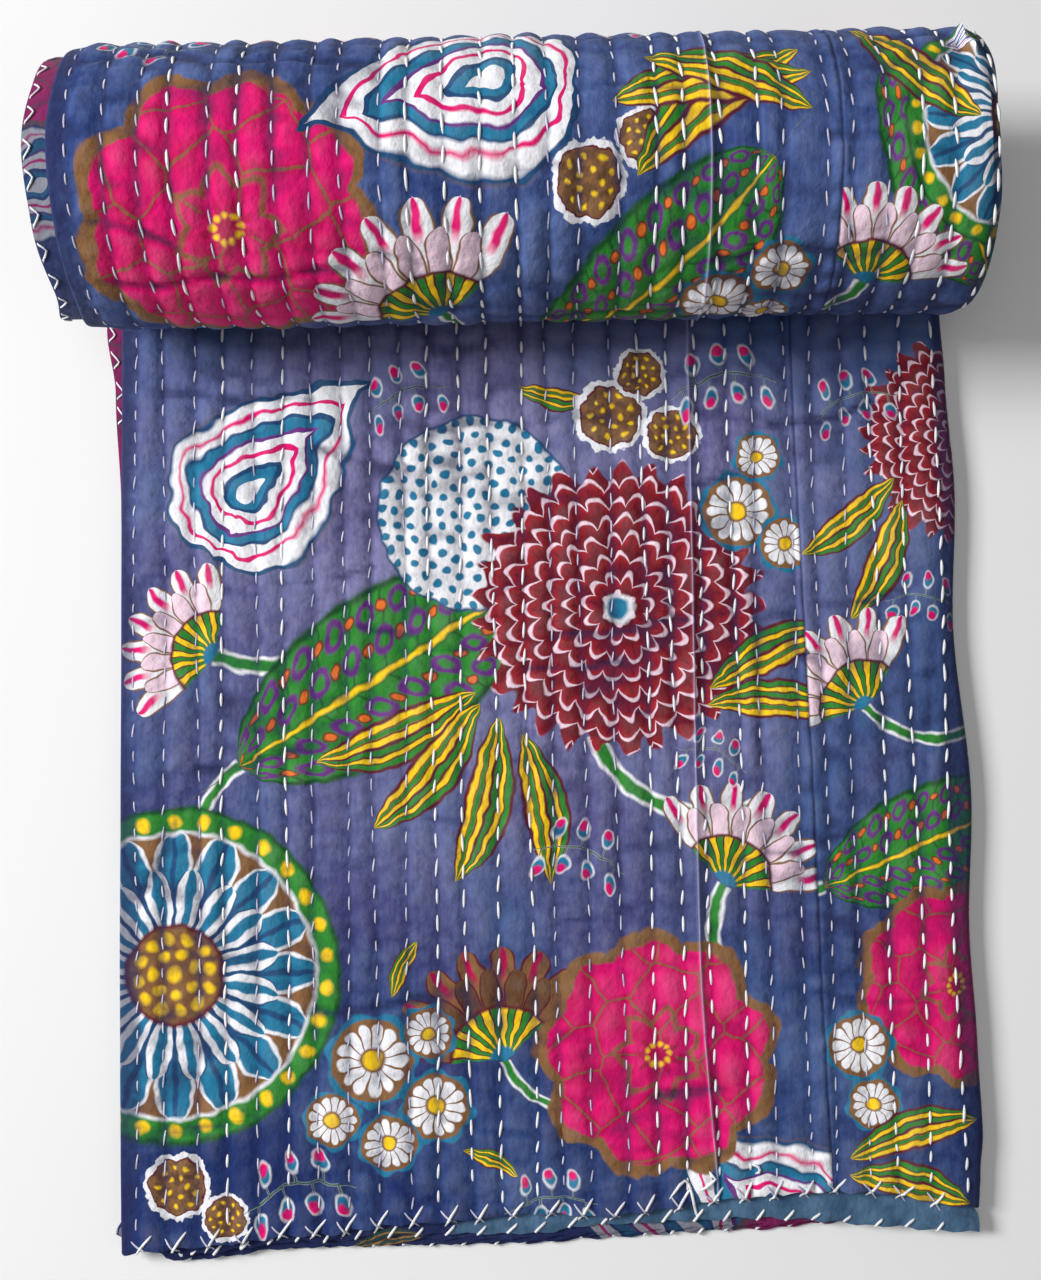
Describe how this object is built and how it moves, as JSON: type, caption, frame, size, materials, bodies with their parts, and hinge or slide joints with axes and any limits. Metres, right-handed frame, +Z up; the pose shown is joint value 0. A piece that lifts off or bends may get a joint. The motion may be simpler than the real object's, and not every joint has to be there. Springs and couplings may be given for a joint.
{
  "type": "kantha quilt",
  "caption": "Hand-quilted kantha cotton quilt, folded lengthwise into a long bundle and rolled up on its own flat hemmed tail.",
  "frame": {"origin": "under the middle of the bounding box, on the surface that the quilt lies on", "axes": "+Z up; +Y along the bundle from the hemmed tail to the roll, the longest extent; +X across the bundle, towards the side where the outer fold is"},
  "size_m": [0.572, 0.7518, 0.1684],
  "materials": {
    "cotton": "matt printed cotton with hand running stitch"
  },
  "bodies": {
    "root": {"quilt": "cotton"}
  },
  "joints": []
}
